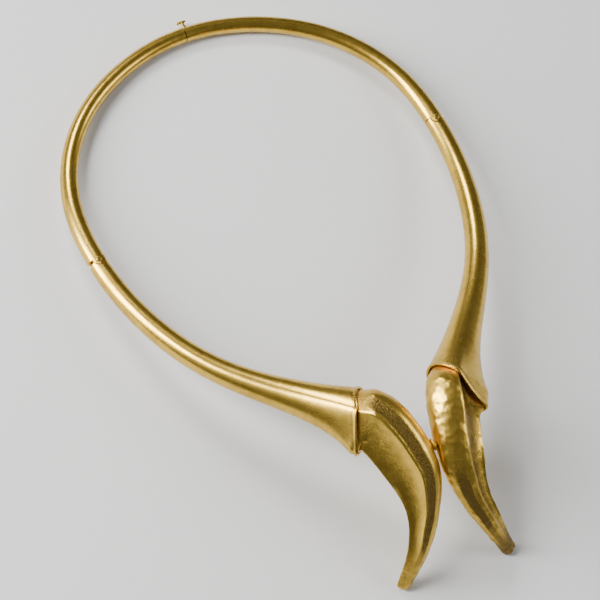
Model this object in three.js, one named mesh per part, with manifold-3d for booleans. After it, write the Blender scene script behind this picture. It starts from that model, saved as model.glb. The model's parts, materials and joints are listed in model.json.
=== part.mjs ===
// A hinged gold torc: a rigid collar of tapering tube with two hinges and a clasp, whose front arms open
// into oval bells that hold two fluted horns, set back to back.
// Millimetres. +X is to the right, +Y points from the horns to the clasp, +Z is up.
// The origin is on the surface that the torc lies on, under the middle of its outline.
import * as THREE from 'three';
import { mergeVertices } from 'three/addons/utils/BufferGeometryUtils.js';
import Module from 'manifold-3d';

const wasm = await Module();
wasm.setup();

// Driving dimensions -------------------------------------------------------------------------------------

// Half of the collar seen from above, from the clasp on the centre plane to the mouth of a bell. These are
// the control points of one smooth curve. The last one lies past the mouth and sets the direction there.
const COLLAR = [[0, 98.8], [25.3, 93.6], [47.2, 80.4], [61.6, 58.7], [63.6, 32.9], [59.6, 8.7],
  [49.4, -14.5], [32.5, -32.9], [15.7, -49.9], [0.8, -75.3]];
const HALF_LENGTH = 202; // along the curve, from the clasp to the mouth
const FRONT_RISE = 27.7; // how much higher the bells' mouths lie than the clasp
const RADIUS_BACK = 2.56; // tube radius at the clasp
const RADIUS_GROWTH = 1.9; // how much thicker the tube is at the bell, before its flare
const FLARE_WIDE = 6.6; // flare of the bell along its wide axis
const FLARE_HIGH = 4.1; // and along its narrow axis
const FLARE_LENGTH = 0.07; // share of the half collar in which the flare dies down to a third
const FLAT_DEPTH = 0.12; // how far the resting flats are worn into the tube

const HINGE_AT = { left: 0.498, right: 0.479 }; // places of the two hinges, as shares of the half collar
const EAR_RADIUS = 1.8;
const EAR_SETBACK = 0.65; // from the pin back to the straight shoulder of the back arc
const LEAF_HALF = 0.75; // half the thickness of the middle leaf
const PIN_RADIUS = 0.6;
const PIN_HEAD_RADIUS = 0.95;
const PIN_HEAD_DEPTH = 0.7;
const BEVEL_START = 0.6; // the bevel that lets the hinge open starts this far outwards of the pin
const BEVEL_ANGLE = 32; // degrees
const GAP = 0.3; // clearance between neighbouring pieces
const TONGUE_PLAY = 0.45; // clearance round the tongue, which leaves its pocket at a slight angle

const CLASP_AT = 1.5; // the seam of the clasp lies this far to the right of the middle
const TONGUE = { length: 6, height: 2.2, thickness: 1, root: 2.5 };
const TAB = { length: 2.9, radius: 0.4, standoff: 1.9, bead: 0.55, stem: 0.9, stemAt: 1.5 };

const WALL = 0.8; // wall of the bell
const ROOT_AT = 0.972; // the horn's root inside the bell runs from this share of the half collar
const ROOT_END = 0.997; // to this one
// Each bell's mouth is cut at a slant: where its middle is, how far its inner lip and its top lie back and
// how far its outer lip reaches on, as shares of the half collar. The corner is where the bell covers the
// horn's ridge, in degrees round the section. Wider is what the bell's own flare adds to the wide axis, and
// shift is how far it moves the section inwards.
const MOUTH = {
  left: { at: 1.004, inner: 0.026, outer: 0.008, tilt: 0.016, corner: 97, wider: 0.6, shift: 0 },
  right: { at: 1.009, inner: 0.022, outer: 0.02, tilt: 0, corner: 82, wider: -0.4, shift: -0.7 },
};
const LEAN_FROM = 0.8; // from this share of the half collar on, the sections lean more and more as the mouth
const BELL_DEPTH = 0.93; // the hollow of the bell starts at this share of the half collar

// The right horn: points of its middle line from the bell to the tip, and its half width and height at each.
const HORN = [[18.9, -50.2, 31.4], [12.7, -57.5, 31.6], [8.5, -72.4, 27.3], [9, -83.1, 20.2],
  [12.9, -91.9, 12.2], [18.8, -98.9, 0.5]];
const HORN_WIDE = [9.6, 9.7, 8.5, 5.6, 3.8, 2.4];
const HORN_HIGH = [7.2, 7.3, 5.7, 3.3, 2.3, 1.8];
// The horns are not quite alike: how far each root lies inwards and is wider, how far its tip sits back, how
// many degrees its ridge bows out of its way and which share of the flute's depth it has at the root.
const HORN_OWN = {
  left: { inward: 3, wider: -0.2, tipBack: 1.2, ridgeBow: -13, rootFlute: 0.25 },
  right: { inward: 2.4, wider: -0.8, tipBack: -1.6, ridgeBow: -8, rootFlute: 0.4 },
};
const HORN_START = 0.18; // the free horn starts at this share of its middle line
const HORN_STRAIGHT = 0.5; // and from this share on its sections no longer lean
const HORN_LENGTH = 58; // of the part that shows, along its middle line
const HORN_PER_COLLAR = HALF_LENGTH / HORN_LENGTH;
const ROOT_TWIST = 15; // degrees that the horn's section turns by at its root,
const ROOT_TWISTS_TO = 0.2; // which is done at this share,
const TIP_TWIST = 50; // and that it turns back by towards the tip,
const TIP_TWISTS_FROM = 0.35; // from this share on
const RIDGE_AT_TIP = 105; // degrees round the section, where the ridge ends
const BOW_SCALE = 6.75; // makes the bow of the ridge full size where it is largest, at a third of the horn
const FLUTE_ENDS = [0.7, 0.95]; // shares between which the flute and the groove run out
const CHANNEL_DEPTH = 0.42; // depth of the flute, as a share of the horn's height
const GROOVE_DEPTH = 0.07; // depth of the groove beside the ridge, as a share of the section's radius
const SOLDER = { size: [0.7, 2, 1.3], at: [-0.25, -66.5, 30.2] }; // fills the gap between the horns

const SIDES = 20;
const GOLD = { color: 0xb08f45, roughness: 0.3, metalness: 1 };

// Curves -------------------------------------------------------------------------------------------------

const UP = new THREE.Vector3(0, 0, 1);
const STEP = 0.002; // share of a curve over which its direction is measured

// A point of the smooth collar curve. Share 0 is the clasp and share 1 the mouth of the bell.
function collarPoint(share) {
  const spans = COLLAR.length - 2;
  const first = Math.min(Math.floor(share * spans), spans - 1);
  const t = share * spans - first;
  const weights = [(1 - t) ** 3, 3 * t ** 3 - 6 * t ** 2 + 4, -3 * t ** 3 + 3 * t ** 2 + 3 * t + 1, t ** 3];
  const point = new THREE.Vector3(0, 0, RADIUS_BACK - FLAT_DEPTH + FRONT_RISE * share ** 2);
  weights.forEach((weight, k) => {
    const index = first - 1 + k;
    const [x, y] = COLLAR[Math.abs(index)];
    point.x += (index < 0 ? -x : x) * weight / 6;
    point.y += y * weight / 6;
  });
  return point;
}

// The section plane of a curve: its middle, the axis towards the inside of the bend and the axis upwards.
function frameAt(pointAt, share, twist = 0) {
  const along = pointAt(share + STEP).sub(pointAt(share - STEP)).normalize();
  const side = along.clone().cross(UP).normalize();
  const over = side.clone().cross(along);
  side.applyAxisAngle(along, -twist);
  over.applyAxisAngle(along, -twist);
  return { middle: pointAt(share), along, side, over };
}

function tubeSize(share, wider = 0) {
  const plain = RADIUS_BACK + RADIUS_GROWTH * Math.abs(share) ** 1.5;
  const flare = Math.exp((share - 1) / FLARE_LENGTH);
  return { wide: plain + (FLARE_WIDE + wider) * flare, high: plain + FLARE_HIGH * flare, flare };
}

// Solids -------------------------------------------------------------------------------------------------

// Joins rings of points into a closed skin, with a fan of faces at each end.
function loft(rings) {
  const count = rings[0].length;
  const points = rings.flat();
  const faces = [];
  for (let i = 0; i + 1 < rings.length; i++) {
    for (let k = 0; k < count; k++) {
      const a = i * count + k;
      const b = i * count + (k + 1) % count;
      faces.push(a, b + count, b, a, a + count, b + count);
    }
  }
  const middle = (ring) => ring.reduce((sum, p) => sum.add(p), new THREE.Vector3()).divideScalar(count);
  const last = (rings.length - 1) * count;
  points.push(middle(rings[0]), middle(rings.at(-1)));
  for (let k = 0; k < count; k++) {
    const next = (k + 1) % count;
    faces.push(points.length - 2, k, next, points.length - 1, last + next, last + k);
  }
  const geometry = new THREE.BufferGeometry().setFromPoints(points);
  geometry.setIndex(faces);
  return geometry;
}

function toSolid(geometry) {
  const bare = geometry.clone();
  bare.deleteAttribute('normal');
  bare.deleteAttribute('uv');
  const merged = mergeVertices(bare, 1e-4);
  return new wasm.Manifold(new wasm.Mesh({
    numProp: 3,
    vertProperties: new Float32Array(merged.attributes.position.array),
    triVerts: new Uint32Array(merged.index.array),
  }));
}

function toGeometry(solid) {
  const mesh = solid.getMesh();
  const geometry = new THREE.BufferGeometry();
  geometry.setAttribute('position', new THREE.BufferAttribute(mesh.vertProperties, 3));
  geometry.setIndex(new THREE.BufferAttribute(mesh.triVerts, 1));
  return geometry;
}

// A box or cylinder placed in a frame with the axes side, along and up.
function placed(geometry, origin, side, along) {
  const up = side.clone().cross(along);
  const matrix = new THREE.Matrix4().makeBasis(side, along, up).setPosition(origin);
  return toSolid(geometry.applyMatrix4(matrix));
}

function box(size, centre, origin, side, along) {
  return placed(new THREE.BoxGeometry(...size).translate(...centre), origin, side, along);
}

function upright(radius, height, origin, centreZ = 0) {
  const cylinder = new THREE.CylinderGeometry(radius, radius, height, 24).rotateX(Math.PI / 2);
  return toSolid(cylinder.translate(origin.x, origin.y, origin.z + centreZ));
}

const floorCut = toSolid(new THREE.BoxGeometry(300, 300, 20).translate(0, 0, -10));

// One point of the closed outline of a horn or bell: a rounded back, a corner at the ridge and, from the
// ridge to the inner lip, a straight edge that sinks in as the flute. Blend 0 gives a plain oval.
function sectionPoint(angle, wide, high, ridgeDegrees, channel, groove, blend = 1) {
  const ridge = THREE.MathUtils.degToRad(ridgeDegrees);
  const round = [wide * Math.cos(angle), high * Math.sin(angle)];
  if (angle <= ridge || angle >= Math.PI) {
    const away = Math.abs(angle - ridge + 0.5) / 0.45;
    const dent = groove * Math.max(0, Math.cos(Math.min(away, 1) * Math.PI / 2));
    return [round[0] * (1 - dent), round[1] * (1 - dent)];
  }
  const part = (angle - ridge) / (Math.PI - ridge);
  const corner = [wide * Math.cos(ridge), high * Math.sin(ridge)];
  const dip = channel * Math.sin(Math.PI * part) ** 0.8;
  const flat = [corner[0] + (-wide - corner[0]) * part + dip * 0.3, corner[1] * (1 - part) - dip];
  return [round[0] + (flat[0] - round[0]) * blend, round[1] + (flat[1] - round[1]) * blend];
}

function ringOf(pointAtAngle) {
  return Array.from({ length: SIDES }, (_, k) => pointAtAngle(2 * Math.PI * k / SIDES));
}

function inFrame({ middle, side, over }, [w, h]) {
  return middle.clone().addScaledVector(side, w).addScaledVector(over, h);
}

// How much less far than its middle a mouth reaches at an angle, as a share of the half collar.
function mouthSlant({ at, inner, outer, tilt }, angle) {
  const cosine = Math.cos(angle);
  return 1 - at + (cosine > 0 ? inner : outer) * cosine + tilt * Math.max(Math.sin(angle), 0);
}

// A ring of the tube or bell. Towards the mouth the rings lean as the mouth does.
function tubeRing(mouth, share, inset = 0, channel = 0) {
  const lean = THREE.MathUtils.smoothstep(share, LEAN_FROM, 1);
  return ringOf((angle) => {
    const reached = share - lean * mouthSlant(mouth, angle);
    const { wide, high, flare } = tubeSize(Math.min(reached, 1), mouth.wider);
    const [w, h] = sectionPoint(angle, wide - inset, high - inset, mouth.corner, channel * high, 0, flare);
    return inFrame(frameAt(collarPoint, reached), [w + mouth.shift * flare, h]);
  });
}

function shares(from, to, count) {
  return Array.from({ length: count + 1 }, (_, k) => from + (to - from) * k / count);
}

// Pieces of the right half -------------------------------------------------------------------------------

function hingeAt(share) {
  const hinge = frameAt(collarPoint, share);
  hinge.side.setZ(0).normalize();
  hinge.forward = UP.clone().cross(hinge.side).normalize();
  return Object.assign(hinge, { share, radius: tubeSize(share).wide });
}

const clasp = collarPoint(CLASP_AT / HALF_LENGTH);
const FAR = 30; // longer than any cut through the tube
const REACH = 260; // longer than the collar

// Everything on the forward side of a line across the hinge, set off by a distance from the pin.
function forwardOf(hinge, offset) {
  return box([REACH, REACH, FAR * 3], [0, offset + REACH / 2, 0], hinge.middle, hinge.side, hinge.forward);
}

function middleLeaf(hinge, half, radius, reach) {
  const round = upright(radius, 2 * half, hinge.middle);
  return round.add(box([2 * radius, reach, 2 * half], [0, reach / 2, 0], hinge.middle, hinge.side,
    hinge.forward));
}

function pinHole({ middle, radius }) {
  const seatHeight = radius - PIN_HEAD_DEPTH + FAR / 2;
  const seats = [-seatHeight, seatHeight].map((z) => upright(PIN_HEAD_RADIUS + GAP, FAR, middle, z));
  return upright(PIN_RADIUS + GAP, FAR, middle).add(seats[0]).add(seats[1]);
}

// Cuts centred on the clasp, where x runs from the seam into the arc.
function claspBox(length, thickness, height, y = 0) {
  return toSolid(new THREE.BoxGeometry(length, thickness, height).translate(length / 2, y, 0));
}

// The pocket that the tongue slides into, with a slot in its outer wall for the thumb tab's stem.
function pocket() {
  const room = 2 * TONGUE_PLAY;
  const slot = claspBox(TAB.stemAt + TAB.stem / 2 + GAP, FAR, TAB.stem + room, FAR / 2);
  return claspBox(TONGUE.length + GAP, TONGUE.thickness + room, TONGUE.height + room).add(slot)
    .translate(clasp.x, clasp.y, clasp.z);
}

function tongueRoot() {
  return claspBox(TONGUE.root + GAP, TONGUE.thickness + 2 * GAP, TONGUE.height + 2 * GAP)
    .translate(-clasp.x, clasp.y, clasp.z);
}

function claspTongue() {
  const half = TONGUE.thickness / 2;
  const tip = TONGUE.length - half;
  const outline = new THREE.Shape();
  outline.moveTo(-TONGUE.root, -half).lineTo(tip, -half);
  outline.absarc(tip, 0, half, -Math.PI / 2, Math.PI / 2, false);
  outline.lineTo(-TONGUE.root, half);
  const blade = new THREE.ExtrudeGeometry(outline, { depth: TONGUE.height, bevelEnabled: false });
  blade.translate(0, 0, -TONGUE.height / 2);
  const barHeight = RADIUS_BACK + TAB.standoff;
  const stem = new THREE.BoxGeometry(TAB.stem, barHeight, TAB.stem).translate(TAB.stemAt, barHeight / 2, 0);
  const bar = new THREE.CapsuleGeometry(TAB.radius, TAB.length - 2 * TAB.radius, 3, 8).rotateZ(Math.PI / 2);
  bar.translate(TAB.length / 2, barHeight, 0);
  const bead = new THREE.SphereGeometry(TAB.bead, 10, 6).translate(0, barHeight, 0);
  return [stem, bar, bead].reduce((solid, more) => solid.add(toSolid(more)), toSolid(blade))
    .translate(clasp.x, clasp.y, clasp.z);
}

// A back arc from the seam, measured from the middle of the collar, to its hinge.
function backArc(mouth, hinge, seam, claspCut) {
  const start = (seam + GAP / 2) / HALF_LENGTH;
  const tube = toSolid(loft(shares(start, hinge.share + 0.02, 20).map((share) => tubeRing(mouth, share))));
  const ears = tube.intersect(upright(EAR_RADIUS, FAR, hinge.middle));
  const slot = middleLeaf(hinge, LEAF_HALF + GAP, EAR_RADIUS + GAP, FAR);
  return tube.subtract(forwardOf(hinge, -EAR_SETBACK)).add(ears).subtract(slot).subtract(pinHole(hinge))
    .subtract(claspCut).subtract(floorCut);
}

function frontArm(mouth, hinge) {
  const places = [...shares(hinge.share - 0.02, 0.8, 15), ...shares(0.825, 1, 10)];
  const outer = places.map((share) => tubeRing(mouth, share));
  const inner = shares(1, BELL_DEPTH, 5).map((share) => tubeRing(mouth, share, WALL));
  const tube = toSolid(loft([...outer, ...inner]));
  const shoulder = forwardOf(hinge, GAP - EAR_SETBACK);
  const bevelTurn = THREE.MathUtils.degToRad(-BEVEL_ANGLE);
  const bevelBox = new THREE.BoxGeometry(FAR, FAR, FAR).translate(-FAR / 2, -FAR / 2, 0).rotateZ(bevelTurn);
  bevelBox.translate(-BEVEL_START, GAP - EAR_SETBACK, 0);
  const bevel = placed(bevelBox, hinge.middle, hinge.side, hinge.forward);
  const leaf = middleLeaf(hinge, LEAF_HALF, EAR_RADIUS, 2 * EAR_RADIUS).intersect(tube);
  return tube.intersect(shoulder).subtract(upright(EAR_RADIUS + GAP, FAR, hinge.middle)).subtract(bevel)
    .add(leaf).subtract(pinHole(hinge));
}

function hingePin({ middle, radius }) {
  const half = radius + 0.1;
  const seat = radius - PIN_HEAD_DEPTH + GAP;
  const dome = 0.25;
  const upper = [[PIN_RADIUS, seat], [PIN_HEAD_RADIUS, seat], [PIN_HEAD_RADIUS, half - dome],
    [PIN_HEAD_RADIUS - dome, half], [0, half]];
  const outline = [...upper.map(([r, z]) => [r, -z]).reverse(), ...upper];
  const points = outline.map(([r, z]) => new THREE.Vector2(r, z));
  return new THREE.LatheGeometry(points, 16).rotateX(Math.PI / 2).translate(middle.x, middle.y, middle.z);
}

// A smooth value between evenly spaced ones, for the horn's width and height.
function between(values, share) {
  const line = new THREE.SplineCurve(values.map((value, k) => new THREE.Vector2(k, value)));
  return line.getPoint(share).y;
}

// A horn with its root inside the bell. Near the mouth its sections lean as the mouth does.
function horn(mouth, { inward, wider, tipBack, ridgeBow, rootFlute }) {
  const points = HORN.map((point) => new THREE.Vector3(...point));
  const middleLine = new THREE.CatmullRomCurve3(points, false, 'catmullrom');
  const pointAt = (share) => {
    const within = Math.min(Math.max(share, 0), 1);
    const point = middleLine.getPoint(within);
    point.addScaledVector(middleLine.getTangent(1), Math.max(share - 1, 0) * HORN_LENGTH);
    point.y += tipBack * within ** 1.5 + inward * (1 - within) ** 3;
    return point;
  };
  const hornPoint = (share, angle) => {
    const rest = 1 - share;
    const twist = ROOT_TWIST * Math.min(share / ROOT_TWISTS_TO, 1)
      - TIP_TWIST * Math.max(share - TIP_TWISTS_FROM, 0) / (1 - TIP_TWISTS_FROM);
    const wide = between(HORN_WIDE, share) + wider * rest ** 3;
    const high = between(HORN_HIGH, share);
    const fade = 1 - THREE.MathUtils.smoothstep(share, ...FLUTE_ENDS);
    const ridge = mouth.corner + (RIDGE_AT_TIP - mouth.corner) * (1 - rest ** 2)
      + ridgeBow * BOW_SCALE * share * rest ** 2;
    const opening = THREE.MathUtils.smoothstep(share, HORN_START, HORN_STRAIGHT);
    const channel = CHANNEL_DEPTH * high * fade * (rootFlute + (1 - rootFlute) * opening);
    return inFrame(frameAt(pointAt, share, THREE.MathUtils.degToRad(twist)),
      sectionPoint(angle, wide, high, ridge, channel, GROOVE_DEPTH * fade));
  };
  const root = shares(ROOT_AT, ROOT_END, 2)
    .map((share) => tubeRing(mouth, share, WALL + GAP, CHANNEL_DEPTH * rootFlute));
  const rings = shares(HORN_START, 1, 23).map((share) => {
    const lean = 1 - THREE.MathUtils.smoothstep(share, HORN_START, HORN_STRAIGHT);
    return ringOf((angle) => hornPoint(share - lean * mouthSlant(mouth, angle) * HORN_PER_COLLAR, angle));
  });
  return toSolid(loft([...root, ...rings])).subtract(floorCut);
}

// The solder that joins the horns, drawn on the mirrored side because it belongs to the left horn.
function solder() {
  const [x, y, z] = SOLDER.at;
  return toSolid(new THREE.SphereGeometry(1, 10, 6).scale(...SOLDER.size).translate(-x, y, z));
}

// The torc -----------------------------------------------------------------------------------------------

const torc = new THREE.Group();

function addPiece(name, geometry, mirror = false) {
  const shape = mirror ? geometry.clone().scale(-1, 1, 1) : geometry;
  if (mirror) shape.setIndex(Array.from(shape.index.array).reverse());
  torc.add(new THREE.Mesh(shape, new THREE.MeshStandardMaterial(GOLD)));
  torc.children.at(-1).name = name;
}

const claspCuts = { left: tongueRoot(), right: pocket() };
for (const side of ['right', 'left']) {
  const mirror = side === 'left';
  const hinge = hingeAt(HINGE_AT[side]);
  const mouth = MOUTH[side];
  const seam = mirror ? -CLASP_AT : CLASP_AT;
  addPiece(`back_arc_${side}`, toGeometry(backArc(mouth, hinge, seam, claspCuts[side])), mirror);
  addPiece(`front_arm_${side}`, toGeometry(frontArm(mouth, hinge)), mirror);
  addPiece(`hinge_pin_${side}`, hingePin(hinge), mirror);
  const terminal = horn(mouth, HORN_OWN[side]);
  addPiece(`terminal_${side}`, toGeometry(mirror ? terminal.add(solder()) : terminal), mirror);
}
addPiece('clasp_tongue', toGeometry(claspTongue()));

export default torc;
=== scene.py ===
# %% [markdown]
# # A hinged gold torc
# A torc is a stiff collar. This one is made of hollow gold tube that thickens from the clasp behind the
# neck to two bells in front. Each bell holds a fluted horn, and the two horns meet back to back at a drop
# of solder. Two hinges and a clasp let the back of the collar open. The frame that is loaded here holds the
# sizes and the moving bodies, and every piece below is a finer version of one of its nodes, in the same
# place.

import json
import math

import bpy
import numpy as np
from mathutils import Euler, Matrix, Vector

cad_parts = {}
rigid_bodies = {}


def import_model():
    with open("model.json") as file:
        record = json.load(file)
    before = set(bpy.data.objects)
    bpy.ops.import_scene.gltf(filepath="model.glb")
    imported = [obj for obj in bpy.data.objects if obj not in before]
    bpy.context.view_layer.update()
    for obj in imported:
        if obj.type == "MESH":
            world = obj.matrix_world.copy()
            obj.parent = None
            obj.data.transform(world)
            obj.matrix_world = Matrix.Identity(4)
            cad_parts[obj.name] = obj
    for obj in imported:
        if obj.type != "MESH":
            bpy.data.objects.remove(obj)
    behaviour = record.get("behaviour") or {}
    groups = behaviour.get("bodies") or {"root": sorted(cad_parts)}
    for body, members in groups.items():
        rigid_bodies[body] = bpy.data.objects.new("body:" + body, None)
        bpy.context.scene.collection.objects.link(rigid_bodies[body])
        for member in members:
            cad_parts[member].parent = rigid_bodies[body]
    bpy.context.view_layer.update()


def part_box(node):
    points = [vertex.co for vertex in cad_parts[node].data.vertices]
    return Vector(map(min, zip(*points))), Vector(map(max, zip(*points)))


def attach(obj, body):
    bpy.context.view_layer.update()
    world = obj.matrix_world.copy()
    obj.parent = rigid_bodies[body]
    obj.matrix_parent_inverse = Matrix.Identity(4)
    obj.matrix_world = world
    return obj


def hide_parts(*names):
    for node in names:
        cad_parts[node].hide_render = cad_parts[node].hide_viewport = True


bpy.ops.object.select_all(action="SELECT")
bpy.ops.object.delete()
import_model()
MM = 0.001

# %% [markdown]
# ## The camera
# The collar lies on a table and the camera looks steeply down on it from the side where the horns are. A
# long lens from more than a metre away keeps the shapes nearly free of perspective, as for a catalogue
# picture. The camera is placed by angles round a point on the table, which are easier to adjust than its
# position.

# %% Camera
CAMERA_TARGET = (-12.5 * MM, -5.2 * MM, 20 * MM)
CAMERA_DISTANCE = 1.1714
CAMERA_TURN = math.radians(-54.76)  # round the torc, 0 looks along +Y
CAMERA_HEIGHT = math.radians(63.74)
CAMERA_ROLL = math.radians(29.95)
LENS = 225.8  # in millimetres, before a sensor 36 mm wide
SENSOR_WIDTH = 36


def looking_rotation(turn, height, roll):
    """Rotation of a camera that looks along its own -Z, first rolled, then raised, then turned."""
    base = Euler((math.pi / 2 - height, 0, turn), "XYZ").to_matrix()
    return base @ Matrix.Rotation(roll, 3, "Z")


camera_data = bpy.data.cameras.new("camera")
camera_data.lens = LENS
camera_data.sensor_width = SENSOR_WIDTH
camera = bpy.data.objects.new("camera", camera_data)
bpy.context.collection.objects.link(camera)
rotation = looking_rotation(CAMERA_TURN, CAMERA_HEIGHT, CAMERA_ROLL)
back = rotation.col[2]
camera.rotation_euler = rotation.to_euler()
camera.location = [t + CAMERA_DISTANCE * b for t, b in zip(CAMERA_TARGET, back)]
bpy.context.scene.camera = camera
print("camera at", [round(c, 3) for c in camera.location])

# %% [markdown]
# ## Floor and light
# Polished gold has almost no colour of its own to show: it shows what is round it. A tall soft lamp at the
# left gives the long streaks on the tube, a smaller one behind gives the second streak, and a weak one at
# the right fills the shadows. The dim room between them gives the dark golden brown beside the streaks.

# %% Floor, room and lamps
FLOOR_SIZE = 3
ROOM_COLOUR = (0.80, 0.82, 0.86, 1)
ROOM_STRENGTH = 0.17
LAMPS = {
    "key": {"place": (-0.69, 0.32, 0.48), "size": (0.26, 0.8), "watts": 19},
    "second": {"place": (-0.1, 0.85, 0.75), "size": (0.34, 0.24), "watts": 8},
    "fill": {"place": (0.9, -0.35, 0.7), "size": (0.6, 0.4), "watts": 5},
}


def soft_lamp(name, place, size, watts):
    """A rectangular area lamp at a place, turned towards the middle of the torc."""
    data = bpy.data.lights.new(name, "AREA")
    data.shape = "RECTANGLE"
    data.size, data.size_y = size
    data.energy = watts
    lamp = bpy.data.objects.new(name, data)
    bpy.context.collection.objects.link(lamp)
    lamp.location = place
    lamp.rotation_euler = (-Vector(place)).to_track_quat("-Z", "Y").to_euler()
    return lamp


bpy.ops.object.select_all(action="DESELECT")
bpy.ops.mesh.primitive_plane_add(size=FLOOR_SIZE, location=(0, 0, 0))
floor = bpy.context.object
floor.name = "floor"

world = bpy.data.worlds.new("room")
bpy.context.scene.world = world
world.use_nodes = True
world.node_tree.nodes["Background"].inputs["Color"].default_value = ROOM_COLOUR
world.node_tree.nodes["Background"].inputs["Strength"].default_value = ROOM_STRENGTH

for name, lamp in LAMPS.items():
    soft_lamp(name, **lamp)
print("floor", FLOOR_SIZE, "m wide, lamps:", ", ".join(LAMPS))

# %% [markdown]
# ## The curve of the collar
# A goldsmith bends the tube round a pattern. Here the pattern is a smooth curve that is pulled by ten
# control points (a B-spline), drawn for the right half in millimetres, and the left half is its mirror
# image. The curve rises towards the front, because the heavy bells stand on the tips of the horns. A share
# of 0 is the clasp and a share of 1 is the mouth of the bell, so every place along the collar has one
# simple number.

# %% The collar's middle line and its thickness
COLLAR = np.array([[0, 98.8], [25.3, 93.6], [47.2, 80.4], [61.6, 58.7], [63.6, 32.9], [59.6, 8.7],
                   [49.4, -14.5], [32.5, -32.9], [15.7, -49.9], [0.8, -75.3]])
HALF_LENGTH = 202  # along the curve, from the clasp to the mouth
FRONT_RISE = 27.7
BACK_RADIUS = 2.56
RADIUS_GROWTH = 1.9
FLARE_WIDE = 6.6
FLARE_HIGH = 4.1
FLARE_LENGTH = 0.07  # share of the half collar in which the flare dies down to a third
FLAT_DEPTH = 0.12  # how far the back is worn flat by the table
DIRECTION_STEP = 0.002  # share over which a curve's direction is measured


def collar_point(share):
    """Points of the collar's middle line, in millimetres, for an array of shares."""
    spans = len(COLLAR) - 2
    first = np.minimum(np.floor(share * spans), spans - 1).astype(int)
    t = share * spans - first
    weights = np.stack([(1 - t) ** 3, 3 * t**3 - 6 * t**2 + 4, -3 * t**3 + 3 * t**2 + 3 * t + 1, t**3], -1)
    index = first[..., None] - 1 + np.arange(4)
    pulls = COLLAR[np.abs(index)]
    pulls[..., 0] *= np.where(index < 0, -1, 1)
    flat = (weights[..., None] * pulls).sum(-2) / 6
    height = BACK_RADIUS - FLAT_DEPTH + FRONT_RISE * share**2
    return np.concatenate([flat, height[..., None]], -1)


def tube_size(share, wider=0):
    """Half width and half height of the tube, and how far it has flared into the bell."""
    plain = BACK_RADIUS + RADIUS_GROWTH * np.abs(share) ** 1.5
    flare = np.exp((share - 1) / FLARE_LENGTH)
    return plain + (FLARE_WIDE + wider) * flare, plain + FLARE_HIGH * flare, flare


def unit(vectors):
    """The same directions with a length of 1."""
    return vectors / np.linalg.norm(vectors, axis=-1, keepdims=True)


def section_frame(point_at, share, twist=0):
    """Middle, inward axis and upward axis of the section plane of a curve at each share."""
    along = unit(point_at(share + DIRECTION_STEP) - point_at(share - DIRECTION_STEP))
    side = unit(np.cross(along, (0, 0, 1)))
    over = np.cross(side, along)
    turn = np.asarray(twist)[..., None]
    turned_side = side * np.cos(turn) + over * np.sin(turn)
    turned_over = over * np.cos(turn) - side * np.sin(turn)
    return point_at(share), turned_side, turned_over


print("collar goes from", collar_point(np.array([0.0, 1.0])).round(1).tolist())

# %% [markdown]
# ## Unevenness that a hand leaves
# Nothing beaten or filed by hand is perfectly even. These two functions give each point in space a small
# number: soft lumps, and the shallow dishes of a hammer. They are added to the surface itself, so the
# wobble of a highlight comes from real shape. The random numbers start from a fixed seed, so each run is
# alike.

# %% Lumps and hammer marks
LATTICE = 32  # cells after which the unevenness repeats
DISH_EDGE = 1.2  # a dish rises no further than this
chance = np.random.default_rng(7)
lattice_values = chance.random((LATTICE, LATTICE, LATTICE)) * 2 - 1
lattice_points = chance.random((LATTICE, LATTICE, LATTICE, 3))
CORNERS = np.array([[i, j, k] for i in (0, 1) for j in (0, 1) for k in (0, 1)])
NEIGHBOURS = np.array([[i, j, k] for i in (-1, 0, 1) for j in (-1, 0, 1) for k in (-1, 0, 1)])


def lumps(points, size):
    """Smooth unevenness from -1 to 1 with lumps of about the given size."""
    scaled = points / size
    cell = np.floor(scaled).astype(int)
    rest = scaled - cell
    eased = rest * rest * (3 - 2 * rest)
    total = np.zeros(points.shape[:-1])
    for corner in CORNERS:
        share = np.where(corner, eased, 1 - eased).prod(-1)
        total += share * lattice_values[tuple(np.moveaxis((cell + corner) % LATTICE, -1, 0))]
    return total


def dishes(points, size):
    """Hammer marks: 0 in the middle of each dish, rising to about 1 on the edges between them."""
    scaled = points / size
    cell = np.floor(scaled).astype(int)
    nearest = np.full(points.shape[:-1], np.inf)
    for step in NEIGHBOURS:
        centre = cell + step + lattice_points[tuple(np.moveaxis((cell + step) % LATTICE, -1, 0))]
        nearest = np.minimum(nearest, ((scaled - centre) ** 2).sum(-1))
    return np.minimum(nearest, DISH_EDGE)


print("lumps at one point:", round(float(lumps(np.array([[1.0, 2.0, 3.0]]), 2.5)[0]), 3))

# %% [markdown]
# ## From sheet to tube
# The tube began as a flat strip of gold that was rolled up and soldered along its edge. The model starts
# the same way: a flat grid is rolled up by giving each of its corners a place on the section at its share
# of the curve. Then the two long edges are merged, the ends are closed and the faces are turned outwards.
# The grid carries two UV maps: one measures metres along and round the tube, for scratches, and one carries
# two painted values, how deep a place lies in a recess and how far inside a bell it is. The first sets how
# much dirt and painted shade a recess gets, the second the painted shade inside a bell.

# %% Rolling up a sheet
SAME_PLACE = 1e-7


def smooth_step(low, high, value):
    """0 at low, 1 at high, and smooth between. Low may be the larger of the two."""
    t = np.clip((value - low) / (high - low), 0, 1)
    return t * t * (3 - 2 * t)


def grid_normals(points):
    """Outward directions of a rolled sheet, from the steps between neighbouring points."""
    along = np.gradient(points, axis=0)
    round_ = np.roll(points, -1, axis=1) - np.roll(points, 1, axis=1)
    return unit(np.cross(along, round_) + 1e-12)


def deselect_all():
    """Clears the selection, because an operator acts on all that is selected."""
    if bpy.context.object and bpy.context.object.mode != "OBJECT":
        bpy.ops.object.mode_set(mode="OBJECT")
    bpy.ops.object.select_all(action="DESELECT")


def select_only(piece):
    deselect_all()
    piece.select_set(True)
    bpy.context.view_layer.objects.active = piece


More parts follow.
